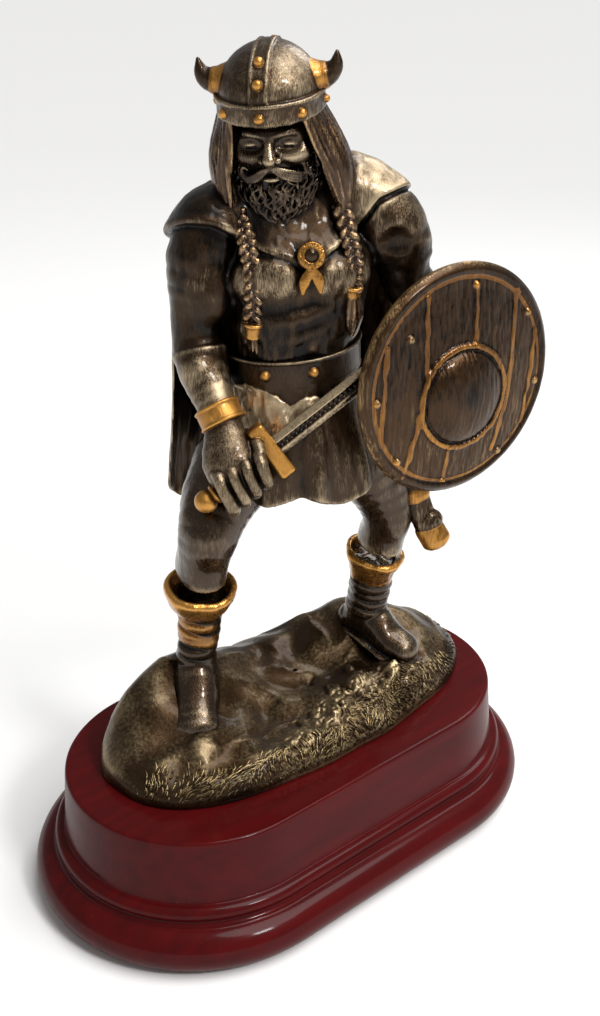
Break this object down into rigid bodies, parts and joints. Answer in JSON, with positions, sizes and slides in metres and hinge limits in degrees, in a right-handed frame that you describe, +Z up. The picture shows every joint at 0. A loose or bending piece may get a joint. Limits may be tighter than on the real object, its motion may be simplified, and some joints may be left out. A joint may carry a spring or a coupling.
{
  "type": "viking figurine",
  "caption": "Cast figurine of a bearded viking in a horned helmet, drawing a sword behind a round shield, astride rocky ground on an oval lacquered plinth.",
  "frame": {"origin": "centre of the plinth's flat underside", "axes": "+Z up, X along the plinth's long axis towards the figure's shield side, -Y towards the plinth's long front"},
  "size_m": [0.1594, 0.095, 0.2214],
  "materials": {
    "antique_pewter": "cast resin painted antique pewter, dark in the hollows, dry-brushed silver on the high spots, satin lacquer",
    "gilt_paint": "hand-brushed antique gold paint on the cast resin, worn at its edges",
    "lacquered_wood": "dark mahogany-red lacquer, satin to gloss, smooth"
  },
  "bodies": {
    "root": {"plinth": "lacquered_wood", "viking_figurine": "antique_pewter"}
  },
  "joints": []
}
